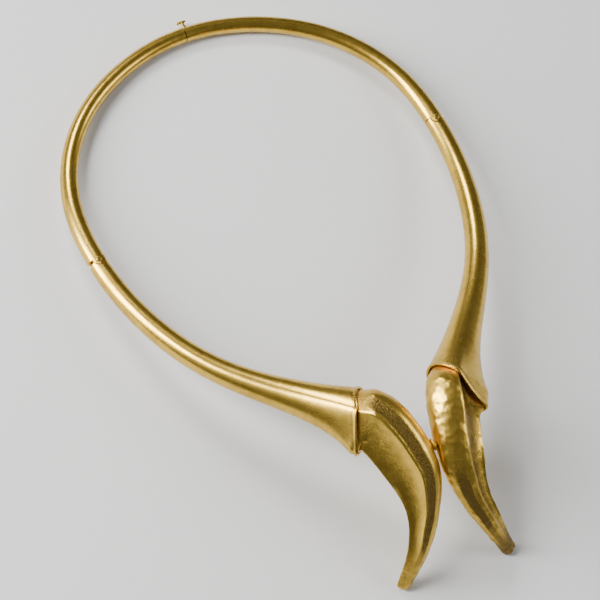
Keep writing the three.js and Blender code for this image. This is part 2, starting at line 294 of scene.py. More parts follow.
def rolled_sheet(name, points, recess, bell_shade):
    """A closed piece from rings of points, in millimetres, with one row for each ring."""
    rings, sides = points.shape[:2]
    deselect_all()
    bpy.ops.mesh.primitive_grid_add(x_subdivisions=rings - 1, y_subdivisions=sides, size=1)
    piece = bpy.context.object
    piece.name = piece.data.name = name
    mesh = piece.data
    flat = np.empty(len(mesh.vertices) * 3)
    mesh.vertices.foreach_get("co", flat)
    flat = flat.reshape(-1, 3)
    ring = np.rint((flat[:, 0] + 0.5) * (rings - 1)).astype(int)
    side = np.rint((flat[:, 1] + 0.5) * sides).astype(int)
    mesh.vertices.foreach_set("co", (points[ring, side % sides] * MM).ravel())

    corner = np.empty(len(mesh.loops), dtype=np.int32)
    mesh.loops.foreach_get("vertex_index", corner)
    steps = np.linalg.norm(np.diff(points, axis=0), axis=-1).mean(1)
    length = np.concatenate([[0], np.cumsum(steps)]) * MM
    girth = np.linalg.norm(points - np.roll(points, 1, axis=1), axis=-1).sum(1).mean() * MM
    lengthwise = np.stack([length[ring[corner]], side[corner] / sides * girth], -1)
    place = ring[corner], side[corner] % sides
    painted = np.stack([recess[place], bell_shade[place]], -1)
    mesh.uv_layers[0].name = "surface"
    mesh.uv_layers["surface"].data.foreach_set("uv", lengthwise.ravel())
    mesh.uv_layers.new(name="looks")
    mesh.uv_layers["looks"].data.foreach_set("uv", painted.ravel())

    bpy.ops.object.mode_set(mode="EDIT")
    bpy.ops.mesh.select_all(action="SELECT")
    bpy.ops.mesh.remove_doubles(threshold=SAME_PLACE)
    bpy.ops.mesh.select_all(action="DESELECT")
    bpy.ops.mesh.select_mode(type="EDGE")
    bpy.ops.mesh.select_non_manifold(extend=False)
    bpy.ops.mesh.fill_holes(sides=0)
    bpy.ops.mesh.select_all(action="SELECT")
    bpy.ops.mesh.normals_make_consistent(inside=False)
    bpy.ops.object.mode_set(mode="OBJECT")
    return piece


def mirrored(piece):
    """Turns a piece that was made on the right-hand side over to the left."""
    select_only(piece)
    bpy.ops.object.mode_set(mode="EDIT")
    bpy.ops.mesh.select_all(action="SELECT")
    bpy.ops.transform.mirror(orient_type="GLOBAL", constraint_axis=(True, False, False),
                             center_override=(0, 0, 0))
    bpy.ops.mesh.normals_make_consistent(inside=False)
    bpy.ops.object.mode_set(mode="OBJECT")
    return piece


print("sheets can be rolled")

# %% [markdown]
# ## Shapes of a section
# The plain tube is round. Towards the mouth of the bell one stretch of the section is drawn straight, from
# a corner over the horn's ridge to the outer lip. The horn has the same section, but there the straight
# stretch sinks in as the flute, and a second, narrow groove runs beside the ridge. Averaging each point
# with its neighbours rounds the corners, as polishing does. Angles go round the section from its inner
# side, over its top and on to its outer side.

# %% Section of tube, bell and horn
FLUTE_FULLNESS = 0.8  # below 1 the bottom of the flute is broader than a plain wave
FLUTE_LEAN = 0.3  # how much of its depth the flute also moves inwards


def section(angle, wide, high, ridge, channel=0, groove=0, groove_at=0.5, groove_half=0.45, blend=1):
    """Inward and upward distance from the middle for an angle round the section."""
    away = np.abs(angle - ridge + groove_at) / groove_half
    dent = groove * np.cos(np.minimum(away, 1) * np.pi / 2)
    oval_in = wide * np.cos(angle)
    oval_up = high * np.sin(angle)
    part = np.clip((angle - ridge) / (np.pi - ridge), 0, 1)
    corner_in = wide * np.cos(ridge)
    corner_up = high * np.sin(ridge)
    dip = channel * np.sin(np.pi * part) ** FLUTE_FULLNESS
    flat_in = corner_in + (-wide - corner_in) * part + dip * FLUTE_LEAN
    flat_up = corner_up * (1 - part) - dip
    fluted = (angle > ridge) & (angle < np.pi)
    inward = np.where(fluted, oval_in + (flat_in - oval_in) * blend, oval_in * (1 - dent))
    upward = np.where(fluted, oval_up + (flat_up - oval_up) * blend, oval_up * (1 - dent))
    return inward, upward


def polished(values, passes):
    """Rounds a closed section by averaging each point with its two neighbours."""
    for _ in range(passes):
        values = (np.roll(values, 1, axis=1) + 2 * values + np.roll(values, -1, axis=1)) / 4
    return values


def angles_round(sides):
    return np.arange(sides) / sides * 2 * np.pi


print("a round section:", np.round(section(angles_round(4), 2, 1, 1.5, blend=0), 1).tolist())

# %% [markdown]
# ## The bells and the tube that leads to them
# Each front arm is one tapering tube whose end was hammered out over a stake into a bell. The mouth is cut
# at a slant, and its edge was thickened into a small bead that catches the light. The sheet runs along the
# outside, over the rim and back along the inside. The two mouths were cut by eye and are not quite alike.

# %% Points of a stretch of tube
MOUTH = {
    "left": {"at": 1.004, "inner": 0.026, "outer": 0.008, "tilt": 0.016, "corner": math.radians(97),
             "wider": 0.6, "shift": 0},
    "right": {"at": 1.009, "inner": 0.022, "outer": 0.02, "tilt": 0, "corner": math.radians(82),
              "wider": -0.4, "shift": -0.7},
}
WALL = 0.8
HOLLOW_FROM = 0.93  # share at which the hollow of the bell starts
LEAN_FROM = 0.8  # from this share on the rings lean more and more, as the mouth does
OTHER_PLACE = 50  # moves the ripples away from the wobble, so that the two don't repeat each other


def mouth_slant(side, angle):
    """How much less far than its middle the mouth reaches at each angle, as a share of the half collar."""
    mouth = MOUTH[side]
    return (1 - mouth["at"] + mouth["inner"] * np.maximum(np.cos(angle), 0)
            + mouth["outer"] * np.minimum(np.cos(angle), 0) + mouth["tilt"] * np.maximum(np.sin(angle), 0))


def tube_points(side, share, sides, inset=0.0, channel=0.0, swell=0.0, passes=6):
    """Rings of the tube or bell, in millimetres, one for each share."""
    share = np.asarray(share, float)[:, None]
    inset = np.broadcast_to(inset, share[:, 0].shape)[:, None]
    swell = np.broadcast_to(swell, share[:, 0].shape)[:, None]
    angle = angles_round(sides)[None, :]
    reached = share - smooth_step(LEAN_FROM, 1, share) * mouth_slant(side, angle)
    wide, high, flare = tube_size(np.minimum(reached, 1), MOUTH[side]["wider"])
    inward, upward = section(angle, wide - inset + swell, high - inset + swell, MOUTH[side]["corner"],
                             channel * high, blend=flare)
    inward, upward = polished(inward, passes), polished(upward, passes)
    middle, side_axis, over = section_frame(collar_point, reached)
    inward = inward + MOUTH[side]["shift"] * flare
    return middle + side_axis * inward[..., None] + over * upward[..., None]


def handmade(points, wobble=0.03, wobble_size=7.0, ripple=0.008, ripple_size=1.6, quiet=1.0):
    """Moves a surface in and out a little, as filing and planishing leave it."""
    amount = wobble * (lumps(points, wobble_size) - 1) + ripple * lumps(points + OTHER_PLACE, ripple_size)
    return points + grid_normals(points) * (amount * quiet)[..., None]


print("mouth of the right bell:", tube_points("right", [1.0], 8)[0].round(1).tolist()[0])

# %% [markdown]
# ## Cutting tools
# The hinges and the clasp are sawn and drilled into the finished tube. Simple blocks and drills do the same
# here: each is a primitive, put in its place and taken away from the piece with a Boolean modifier. The
# places come from the frame: the pins of the hinges say where each hinge is, and the tongue says where the
# clasp is.

# %% Blocks, drills and the cut
FAR = 40  # long enough to go right through the tube
REACH = 260  # long enough to take away half of the collar
TALL = 90  # higher than the whole torc
HINGE_SEARCH = np.linspace(0.4, 0.6, 2001)


def hinge_frame(side):
    """Middle of a hinge and its inward and forward directions, on the right-hand side of the mirror."""
    low, high = (np.array(corner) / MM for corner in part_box(f"hinge_pin_{side}"))
    middle = (low + high) / 2
    middle[0] = abs(middle[0])
    nearest = HINGE_SEARCH[np.linalg.norm(collar_point(HINGE_SEARCH) - middle, axis=1).argmin()]
    _, inward, _ = section_frame(collar_point, np.array([nearest]))
    inward = unit(inward[0] * (1, 1, 0))
    return {"middle": middle, "share": nearest, "inward": inward, "forward": np.cross((0, 0, 1), inward),
            "radius": (high[2] - low[2]) / 2}


def finish_tool(tool, name):
    """Names a tool and puts its place and size into its mesh."""
    tool.name = tool.data.name = name
    bpy.ops.object.transform_apply(location=True, rotation=True, scale=True)
    return tool


def block(name, size, centre, hinge, turn=0.0):
    """A box whose middle is given along the hinge's inward, forward and upward directions."""
    heading = math.atan2(hinge["inward"][1], hinge["inward"][0])
    place = (hinge["middle"] + hinge["inward"] * centre[0] + hinge["forward"] * centre[1]
             + np.array([0, 0, centre[2]]))
    deselect_all()
    bpy.ops.mesh.primitive_cube_add(size=1, location=place * MM, rotation=(0, 0, heading + turn))
    bpy.context.object.scale = np.array(size) * MM
    return finish_tool(bpy.context.object, name)


def drill(name, radius, height, middle, lift=0.0):
    """An upright cylinder round a point."""
    deselect_all()
    bpy.ops.mesh.primitive_cylinder_add(vertices=64, radius=radius * MM, depth=height * MM,
                                        location=(middle + np.array([0, 0, lift])) * MM)
    return finish_tool(bpy.context.object, name)


def combine(piece, tool, operation="DIFFERENCE"):
    """Applies a Boolean with a tool and throws the tool away."""
    select_only(piece)
    boolean = piece.modifiers.new(tool.name, "BOOLEAN")
    boolean.operation = operation
    boolean.object = tool
    boolean.solver = "MANIFOLD"
    bpy.ops.object.modifier_apply(modifier=boolean.name)
    bpy.data.objects.remove(tool)
    return piece


def rounded(piece, width, segments=4):
    """Bevels the sharp edges of a piece."""
    select_only(piece)
    soften = piece.modifiers.new("soften", "BEVEL")
    soften.width = width * MM
    soften.segments = segments
    soften.limit_method = "ANGLE"
    bpy.ops.object.modifier_apply(modifier=soften.name)
    return piece


hinges = {side: hinge_frame(side) for side in ("right", "left")}
print("hinges at shares", {side: round(float(h["share"]), 3) for side, h in hinges.items()})

# %% [markdown]
# ## Hinge joints
# Each hinge is like that of a small box: the back arc ends in two round ears, one above and one below, and
# the front arm ends in a single leaf between them. A bevel on the outer side gives the joint room to open.

# %% Cutters for the two halves of a hinge
EAR_RADIUS = 1.8
EAR_SETBACK = 0.65  # from the pin back to the straight shoulder of the back arc
LEAF_HALF = 0.75  # half the thickness of the leaf
PIN_RADIUS = 0.6
PIN_HEAD_RADIUS = 0.95
PIN_HEAD_DEPTH = 0.7
SEAT_PLAY = 0.1  # room round a pin's head
BEVEL_START = 0.6
BEVEL_ANGLE = math.radians(32)
GAP = 0.3


def leaf(hinge, half, radius, reach):
    """A plate with a round end, which lies level in the middle of the hinge."""
    shape = drill("leaf_end", radius, 2 * half, hinge["middle"])
    root = block("leaf_root", (2 * radius, reach, 2 * half), (0, reach / 2, 0), hinge)
    return combine(shape, root, "UNION")


def drill_pin_hole(piece, hinge):
    """Drills the hole for a pin and, above and below, the seats for its heads."""
    lift = hinge["radius"] - SEAT_PLAY - PIN_HEAD_DEPTH + FAR / 2
    combine(piece, drill("pin_hole", PIN_RADIUS + GAP, FAR, hinge["middle"]))
    combine(piece, drill("upper_seat", PIN_HEAD_RADIUS + SEAT_PLAY, FAR, hinge["middle"], lift))
    return combine(piece, drill("lower_seat", PIN_HEAD_RADIUS + SEAT_PLAY, FAR, hinge["middle"], -lift))


def cut_ears(piece, hinge):
    """Shapes the end of a back arc."""
    beyond = block("beyond_shoulder", (REACH, REACH, TALL), (0, REACH / 2 - EAR_SETBACK, 0), hinge)
    combine(beyond, drill("ear", EAR_RADIUS, FAR, hinge["middle"]))
    combine(piece, beyond)
    combine(piece, leaf(hinge, LEAF_HALF + GAP, EAR_RADIUS + GAP, FAR))
    return drill_pin_hole(piece, hinge)


def cut_leaf(piece, hinge):
    """Shapes the hinge end of a front arm."""
    behind = block("behind_shoulder", (REACH, REACH, TALL), (0, GAP - EAR_SETBACK - REACH / 2, 0), hinge)
    combine(behind, drill("room_for_ears", EAR_RADIUS + GAP, FAR, hinge["middle"]), "UNION")
    c, s = math.cos(BEVEL_ANGLE), math.sin(BEVEL_ANGLE)
    half = FAR / 2
    corner = (-BEVEL_START - half * c - half * s, GAP - EAR_SETBACK + half * s - half * c, 0)
    combine(behind, block("bevel", (FAR, FAR, FAR), corner, hinge, -BEVEL_ANGLE), "UNION")
    combine(behind, leaf(hinge, LEAF_HALF, EAR_RADIUS, 2 * EAR_RADIUS))
    combine(piece, behind)
    return drill_pin_hole(piece, hinge)


print("ears of radius", EAR_RADIUS, "mm")

# %% [markdown]
# ## The front arms
# The arm runs from the hinge to the mouth. Near the mouth the rings lie closer together, because the bead
# and the rim need them.

# %% Front arms
ARM_SIDES = 120
TUBE_RINGS = 239
RIM_FROM = 0.97  # from this share on the rings lie closer together
RIM_RINGS = 34
RIM_TURN = np.linspace(0, np.pi, 9)[1:-1]  # from the outside over the rim to the inside
RIM_ROUNDNESS = 0.6
HINGE_MARGIN = 0.02  # the tube starts this share beyond the hinge, and the cutters shorten it
BEAD = {"swell": 0.16, "at": 0.25, "width": 0.35}
BEAD_GROOVE = {"swell": -0.07, "at": 1.1, "width": 0.35}


def rim_bead(share):
    """How far the outside swells towards the mouth: a shallow groove, then a bead."""
    edge = (1 - share) * HALF_LENGTH
    return sum(wave["swell"] * np.exp(-((edge - wave["at"]) / wave["width"]) ** 2)
               for wave in (BEAD, BEAD_GROOVE))


def front_arm(side):
    hinge = hinges[side]
    outer = np.concatenate([np.linspace(hinge["share"] - HINGE_MARGIN, RIM_FROM, TUBE_RINGS, endpoint=False),
                            np.linspace(RIM_FROM, 1, RIM_RINGS)])
    over_rim = 1 + WALL / 2 * np.sin(RIM_TURN) / HALF_LENGTH * RIM_ROUNDNESS
    inner = np.linspace(1, HOLLOW_FROM, RIM_RINGS)
    share = np.concatenate([outer, over_rim, inner])
    inside = np.arange(len(share)) >= len(outer) + len(over_rim) / 2
    inset = np.concatenate([0 * outer, WALL / 2 * (1 - np.cos(RIM_TURN)), 0 * inner + WALL])
    points = tube_points(side, share, ARM_SIDES, inset, swell=rim_bead(share) * ~inside)
    points = handmade(points, quiet=smooth_step(0, 0.01, np.abs(1 - share))[:, None])
    # Painted shade inside the bell, fading out towards the rim.
    depth = np.where(inside, smooth_step(1, 0.985, share), 0)
    bell_shade = np.repeat(depth[:, None], ARM_SIDES, axis=1)
    piece = rolled_sheet(f"arm_{side}", points, 0 * bell_shade, bell_shade)
    cut_leaf(piece, hinge)
    return mirrored(piece) if side == "left" else piece


arms = {side: front_arm(side) for side in ("right", "left")}
print({piece.name: len(piece.data.polygons) for piece in arms.values()})

# %% [markdown]
# ## The back arcs
# The two thinner tubes behind carry the ears of the hinges and the two halves of the clasp: a pocket on the
# right and the soldered root of the tongue on the left. Lying on the table has worn a small flat under
# them.

# %% Back arcs
ARC_SIDES = 84
ARC_RINGS = 300
TABLE_SIZE = (0.4, 0.4, 0.02)
TONGUE = {"length": 6, "height": 2.2, "thickness": 1, "root": 2.5, "play": 0.45}
TAB = {"length": 2.9, "radius": 0.4, "standoff": 1.9, "bead": 0.55, "stem": 0.9, "stem_at": 1.5}
tongue_low, tongue_high = (np.array(corner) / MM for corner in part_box("clasp_tongue"))
clasp = np.array([tongue_low[0] + TONGUE["root"], tongue_low[1] + TONGUE["thickness"] / 2,
                  (tongue_low[2] + tongue_high[2]) / 2])
clasp_frame = {"middle": clasp, "inward": np.array([1.0, 0, 0]), "forward": np.array([0, 1.0, 0])}


def flat_cut(piece):
    """Takes away what would lie below the table."""
    deselect_all()
    bpy.ops.mesh.primitive_cube_add(size=1, location=(0, 0, -TABLE_SIZE[2] / 2))
    bpy.context.object.scale = TABLE_SIZE
    return combine(piece, finish_tool(bpy.context.object, "table"))


def back_arc(side):
    hinge = hinges[side]
    seam = clasp[0] if side == "right" else -clasp[0]
    share = np.linspace((seam + GAP / 2) / HALF_LENGTH, hinge["share"] + HINGE_MARGIN, ARC_RINGS)
    points = handmade(tube_points(side, share, ARC_SIDES))
    nothing = np.zeros(points.shape[:2])
    piece = cut_ears(rolled_sheet(f"arc_{side}", points, nothing, nothing), hinge)
    if side == "left":
        mirrored(piece)
        depth = TONGUE["root"] + GAP
        combine(piece, block("tongue_root", (depth, TONGUE["thickness"] + GAP, TONGUE["height"] + GAP),
                             (-depth / 2, 0, 0), clasp_frame))
    else:
        room = 2 * TONGUE["play"]
        length = TONGUE["length"] + GAP
        combine(piece, block("pocket", (length, TONGUE["thickness"] + room, TONGUE["height"] + room),
                             (length / 2, 0, 0), clasp_frame))
        slot = TAB["stem_at"] + TAB["stem"] / 2 + GAP
        combine(piece, block("slot", (slot, FAR, TAB["stem"] + room), (slot / 2, FAR / 2, 0), clasp_frame))
    return flat_cut(piece)


arcs = {side: back_arc(side) for side in ("right", "left")}
print({piece.name: len(piece.data.polygons) for piece in arcs.values()})

# %% [markdown]
# ## The horns
# Each terminal is a curved horn, raised from sheet gold over pitch. Its back is hammered and convex. Along
# its front runs a broad flute with a smooth ridge on one side and a thin lip on the other, and a narrow
# groove beside the ridge was stippled with a punch. The horn's middle line is a smooth curve through six
# points. A share of 0 is deep in the bell and a share of 1 is the tip, and the section gets its size, its
# turn and the depth of its flute from its share. What differs from one horn to the other stands in
# HORN_OWN.

# %% The horn's middle line
HORN = np.array([[18.9, -50.2, 31.4], [12.7, -57.5, 31.6], [8.5, -72.4, 27.3], [9, -83.1, 20.2],
                 [12.9, -91.9, 12.2], [18.8, -98.9, 0.5]])
HORN_WIDE = np.array([9.6, 9.7, 8.5, 5.6, 3.8, 2.4])
HORN_HIGH = np.array([7.2, 7.3, 5.7, 3.3, 2.3, 1.8])
HORN_OWN = {
    "left": {"inward": 3, "wider": -0.2, "tip_back": 1.2, "ridge_bow": math.radians(-13), "groove_at": 0.36,
             "groove_half": 0.3, "groove": 0.085, "groove_from": -0.1, "hammer": 0.04, "root_flute": 0.25,
             "tip_rough": 0.08, "soiled_and_shaded": 0.45},
    "right": {"inward": 2.4, "wider": -0.8, "tip_back": -1.6, "ridge_bow": math.radians(-8), "groove_at": 0.7,
              "groove_half": 0.4, "groove": 0.05, "groove_from": 0.3, "hammer": 0.24, "root_flute": 0.4,
              "tip_rough": 0.15, "soiled_and_shaded": 0.75},
}
CHANNEL_DEPTH = 0.42  # of the flute, as a share of the horn's height
ROOT_AT = 0.972  # shares of the collar between which the root lies
ROOT_END = 0.997
HORN_START = 0.18  # the free horn starts at this share of its middle line
HORN_STRAIGHT = 0.5  # and from this share on its rings no longer lean
HORN_LENGTH = 58
RIDGE_AT_TIP = math.radians(105)
BOW_SCALE = 6.75  # makes the bow of the ridge full size at a third of the horn
ROOT_TWIST, ROOT_TWISTS_TO = math.radians(15), 0.2
TIP_TWIST, TIP_TWISTS_FROM = math.radians(50), 0.35
FLUTE_ENDS = 0.7, 0.95  # shares between which the flute and the groove run out
GROOVE_RUN = 0.25  # share in which a groove sinks to its full depth
WAVER, WAVER_START, WAVER_LENGTH = math.radians(2), 5, 10


def through(values, t, ends):
    """A smooth curve through evenly spaced values, for t from 0 to 1."""
    padding = {"reflect_type": "odd"} if ends == "reflect" else {}
    padded = np.pad(values, [(1, 1)] + [(0, 0)] * (values.ndim - 1), mode=ends, **padding)
    place = np.clip(t, 0, 1) * (len(values) - 1)
    first = np.minimum(np.floor(place), len(values) - 2).astype(int)
    rest = place - first
    if values.ndim > 1:
        rest = rest[..., None]
    a, b, c, d = (padded[first + k] for k in range(4))
    return 0.5 * (2 * b + (c - a) * rest + (2 * a - 5 * b + 4 * c - d) * rest**2
                  + (3 * b - a - 3 * c + d) * rest**3)


NEAR_TIP = 0.99  # share from which the direction of the tip is taken


def horn_point(side):
    """The horn's middle line as a function of the share along it."""
    own = HORN_OWN[side]

    def point_at(t):
        inside = np.clip(t, 0, 1)
        point = through(HORN, inside, "reflect")
        end_direction = unit(HORN[-1] - through(HORN, np.array([NEAR_TIP]), "reflect")[0])
        point = point + end_direction * np.maximum(t - 1, 0)[..., None] * HORN_LENGTH
        point[..., 1] += own["tip_back"] * inside**1.5 + own["inward"] * (1 - inside) ** 3
        return point

    return point_at


print("horn's tip at", horn_point("right")(np.array([1.0]))[0].round(1).tolist())

# %% [markdown]
# ## Rings of a horn
# The root of the horn is hidden inside the bell, and a smooth stretch joins it to the free horn, as the
# sheet was drawn down to fit. The two horns are not quite alike, because each was hammered by eye: the left
# one's groove is deeper and starts at the root, and the back of the right one has kept more of its hammer
# marks.

# %% Horns
def horn_rings(side, t, sides):
    """Rings of the free horn and the painted depth of groove and flute."""
    own = HORN_OWN[side]
    t = np.asarray(t, float)[:, None]
    angle = angles_round(sides)[None, :]
    straight = smooth_step(HORN_START, HORN_STRAIGHT, t)
    t = t - (1 - straight) * mouth_slant(side, angle) * HALF_LENGTH / HORN_LENGTH
    twist = (ROOT_TWIST * np.minimum(t / ROOT_TWISTS_TO, 1)
             - TIP_TWIST * np.maximum(t - TIP_TWISTS_FROM, 0) / (1 - TIP_TWISTS_FROM))
    wide = through(HORN_WIDE, t, "edge") + own["wider"] * (1 - t) ** 3
    high = through(HORN_HIGH, t, "edge")
    fade = 1 - smooth_step(*FLUTE_ENDS, t)
    waver = WAVER * lumps(np.stack([t, 0 * t, 0 * t], -1) * WAVER_LENGTH + WAVER_START, 1.0)
    corner = MOUTH[side]["corner"]
    ridge = corner + (RIDGE_AT_TIP - corner) * (1 - (1 - t) ** 2) + waver
    ridge = ridge + own["ridge_bow"] * BOW_SCALE * t * (1 - t) ** 2
    presence = fade * smooth_step(own["groove_from"], own["groove_from"] + GROOVE_RUN, t)
    deepening = smooth_step(HORN_START, HORN_STRAIGHT, t)
    flute = fade * (own["root_flute"] + (1 - own["root_flute"]) * deepening)
    inward, upward = section(angle, wide, high, ridge, CHANNEL_DEPTH * high * flute, own["groove"] * presence,
                             own["groove_at"], own["groove_half"])
    inward, upward = polished(inward, 3), polished(upward, 3)
    middle, side_axis, over = section_frame(horn_point(side), t, twist)
    points = middle + side_axis * inward[..., None] + over * upward[..., None]
    away = np.abs(angle - ridge + own["groove_at"]) / own["groove_half"]
    groove = presence * (1 - smooth_step(0.55, 1.1, away))
    part = np.clip((angle - ridge) / (np.pi - ridge), 0, 1)
    channel = fade * np.sin(np.pi * part) * (angle < np.pi)
    return points, groove, channel


def joining_rings(first, second, third, fourth, count):
    """Rings on a smooth path from the second ring to the third, led by the first and the fourth."""
    reach = np.linalg.norm(third - second, axis=-1).mean()
    start = (second - first) / np.linalg.norm(second - first, axis=-1).mean() * reach
    end = (fourth - third) / np.linalg.norm(fourth - third, axis=-1).mean() * reach
    s = np.linspace(0, 1, count + 2)[1:-1, None, None]
    return ((2 * s**3 - 3 * s**2 + 1) * second + (s**3 - 2 * s**2 + s) * start
            + (3 * s**2 - 2 * s**3) * third + (s**3 - s**2) * end)


HORN_SIDES = 176
ROOT_RINGS = 6
JOINT_RINGS = 30
FREE_RINGS = 236
TIP_FROM = 0.985
TIP_SHARES = [0.99, 0.995, 0.998, 1.0]
TIP_SIZES = [0.98, 0.93, 0.85, 0.72]
ROUGH_TIP = 0.78, 0.95  # shares between which the tip turns rough
SHADED_JOINT = 0.5  # share of the joining stretch that lies in the shade of the bell
HAMMER_SIZE = 3.0
PLAIN_GRAIN, GROOVE_GRAIN, FLUTE_GRAIN = (0.04, 2.2), (0.06, 0.6), (0.04, 1.2)  # height and size
SINK = 0.1  # keeps the marks below the plain surface


def horn(side):
    """One horn: its root, the joining stretch and the free horn, with its marks."""
    own = HORN_OWN[side]
    root_flute = CHANNEL_DEPTH * own["root_flute"]
    root = tube_points(side, np.linspace(ROOT_AT, ROOT_END, ROOT_RINGS), HORN_SIDES, WALL + GAP, root_flute,
                       passes=3)
    t = np.concatenate([np.linspace(HORN_START, TIP_FROM, FREE_RINGS), TIP_SHARES])
    free, groove, channel = horn_rings(side, t, HORN_SIDES)
    shrink = np.concatenate([np.ones(FREE_RINGS), TIP_SIZES])[:, None, None]
    centre = free.mean(1, keepdims=True)
    free = centre + (free - centre) * shrink
    joint = joining_rings(root[-2], root[-1], free[0], free[1], JOINT_RINGS)
    points = np.concatenate([root, joint, free])

    grow = np.linspace(0, 1, len(joint))[:, None]
    zeros = np.zeros((len(root), HORN_SIDES))
    groove = np.concatenate([zeros, grow * groove[:1], groove])
    channel = np.concatenate([zeros + channel[:1], channel[:1] + 0 * grow, channel])
    # Painted shade: full on the root inside the bell, fading out along the joining stretch.
    shade = (1 - smooth_step(0, SHADED_JOINT, grow)) + np.zeros(HORN_SIDES)
    bell_shade = np.concatenate([zeros + 1, shade, 0 * free[..., 0]])

    along = np.concatenate([np.zeros(len(root) + len(joint)), t])[:, None]
    rough_tip = smooth_step(*ROUGH_TIP, along)
    past_root = smooth_step(0, 10, np.arange(len(points)) - len(root))[:, None]
    plain = np.clip(1 - groove - channel, 0, 1) * past_root
    blows = own["hammer"] * plain * (dishes(points, HAMMER_SIZE) - 0.4 + 0.35 * lumps(points, 1.3))
    grain = sum(height * where * lumps(points, size) for where, (height, size) in
                ((plain, PLAIN_GRAIN), (groove, GROOVE_GRAIN), (channel, FLUTE_GRAIN)))
    wear = rough_tip * own["tip_rough"] * (lumps(points, 2.0) + 0.5 * lumps(points, 0.8))
    points = points + grid_normals(points) * (blows + grain + wear - SINK)[..., None]
    # How dark the groove, the flute and the tip are painted: partly dirt and partly painted shade.
    soiled_and_shaded = np.clip(groove + own["soiled_and_shaded"] * channel + 5 * own["tip_rough"] * rough_tip, 0, 1)
    piece = rolled_sheet(f"horn_{side}", points, soiled_and_shaded, bell_shade)
    if side == "left":
        mirrored(piece)
    return flat_cut(piece)


horns = {side: horn(side) for side in ("right", "left")}
print({piece.name: len(piece.data.polygons) for piece in horns.values()})

# %% [markdown]
# ## Solder between the horns
# A lump of solder fills the place where the two hammered backs touch. It started as a ball, and melted into
# an uneven flat drop.

# %% Solder
SOLDER_SIZE = (0.8, 2.1, 1.4)
SOLDER_AT = (0.15, -66.5, 30.2)
SOLDER_LUMPS = {"size": 0.9, "height": 0.25}


def solder_drop():
    deselect_all()
    bpy.ops.mesh.primitive_ico_sphere_add(subdivisions=5, radius=MM, location=(0, 0, 0))
    drop = bpy.context.object
    drop.scale = SOLDER_SIZE
    drop.location = [MM * c for c in SOLDER_AT]
    finish_tool(drop, "solder")
    select_only(drop)
    clouds = bpy.data.textures.new("solder_lumps", "CLOUDS")
    clouds.noise_scale = SOLDER_LUMPS["size"] * MM
    lump = drop.modifiers.new("lumps", "DISPLACE")
    lump.texture = clouds
    lump.strength = SOLDER_LUMPS["height"] * MM
    lump.texture_coords = "GLOBAL"
    bpy.ops.object.modifier_apply(modifier=lump.name)
    bpy.ops.object.shade_smooth()
    return drop


solder = solder_drop()
print("solder", [round(1000 * d, 1) for d in solder.dimensions], "mm")

# %% [markdown]
# ## Hinge pins
# A pin is a short wire whose two ends were hammered into low round heads, so it cannot fall out. The heads
# are low cylinders, which are rounded with a bevel and joined to the shaft.

# %% Pins
PIN_HEAD_ROUND = 0.3


def hinge_pin(side):
    hinge = hinges[side]
    middle = hinge["middle"].copy()
    if side == "left":
        middle[0] *= -1
    shaft = drill(f"pin_{side}", PIN_RADIUS, 2 * (hinge["radius"] - PIN_HEAD_DEPTH), middle)
    for up in (1, -1):
        lift = up * (hinge["radius"] - PIN_HEAD_DEPTH / 2)
        head = drill("head", PIN_HEAD_RADIUS, PIN_HEAD_DEPTH, middle, lift)
        combine(shaft, rounded(head, PIN_HEAD_ROUND, 5), "UNION")
    return shaft


pins = {side: hinge_pin(side) for side in ("right", "left")}
print("pins are", round(2 * hinges["right"]["radius"], 1), "mm long")

# %% [markdown]
# ## The clasp
# The tongue is a flat blade, soldered into the left arc, that slides into the pocket of the right one. A
# stem comes out through a slot and carries a small bar with a bead, which a thumb pushes to open the clasp.

# %% Tongue, stem, bar and bead
BLADE_ROUND = 0.25
STEM_ROUND = 0.15
BAR_ROUND = 0.3


def clasp_tongue():
    length = TONGUE["root"] + TONGUE["length"]
    blade = rounded(block("tongue", (length, TONGUE["thickness"], TONGUE["height"]),
                          (TONGUE["length"] / 2 - TONGUE["root"] / 2, 0, 0), clasp_frame), BLADE_ROUND)
    out = BACK_RADIUS + TAB["standoff"]
    stem = block("stem", (TAB["stem"], out, TAB["stem"]), (TAB["stem_at"], out / 2, 0), clasp_frame)
    combine(blade, rounded(stem, STEM_ROUND), "UNION")
    deselect_all()
    bpy.ops.mesh.primitive_cylinder_add(vertices=40, radius=TAB["radius"] * MM, depth=TAB["length"] * MM,
                                        rotation=(0, math.pi / 2, 0),
                                        location=(clasp + (TAB["length"] / 2, out, 0)) * MM)
    combine(blade, rounded(finish_tool(bpy.context.object, "bar"), BAR_ROUND, 6), "UNION")
    deselect_all()
    bpy.ops.mesh.primitive_uv_sphere_add(segments=40, ring_count=24, radius=TAB["bead"] * MM,
                                         location=(clasp + (0, out, 0)) * MM)
    return combine(blade, finish_tool(bpy.context.object, "bead"), "UNION")


tongue = clasp_tongue()
print("tongue", [round(1000 * d, 1) for d in tongue.dimensions], "mm")

# %% [markdown]
# ## Smooth faces, sharp edges
# Faces that meet at a low angle are shaded as one surface, and saw cuts keep their edges. Then each piece
# is put on the body it rides on, and the node of the frame that it stands for is hidden.

# %% Shading, bodies and nodes
SHARP_FROM = math.radians(35)


def smooth(piece):
    select_only(piece)
    bpy.ops.object.shade_smooth_by_angle(angle=SHARP_FROM)


for side in ("right", "left"):
    for piece, body, node, slot_name in (
        (arms[side], "front", f"front_arm_{side}", "polished_gold"),
        (arcs[side], f"back_{side}", f"back_arc_{side}", "polished_gold"),
        (horns[side], "front", f"terminal_{side}", "hammered_gold"),
        (pins[side], "front", f"hinge_pin_{side}", "polished_gold"),
    ):
        smooth(piece)
        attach(piece, body)
        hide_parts(node)
smooth(tongue)
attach(tongue, "back_left")
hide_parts("clasp_tongue")
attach(solder, "front")
print("pieces ride on their bodies")

# %% [markdown]
# ## A small language for materials
# A material is a graph of nodes. Written as Python sums it is easier to read: this class wraps a socket, so
# that a + b or 1 - mask adds the Math node for it, and every other node comes from one method.

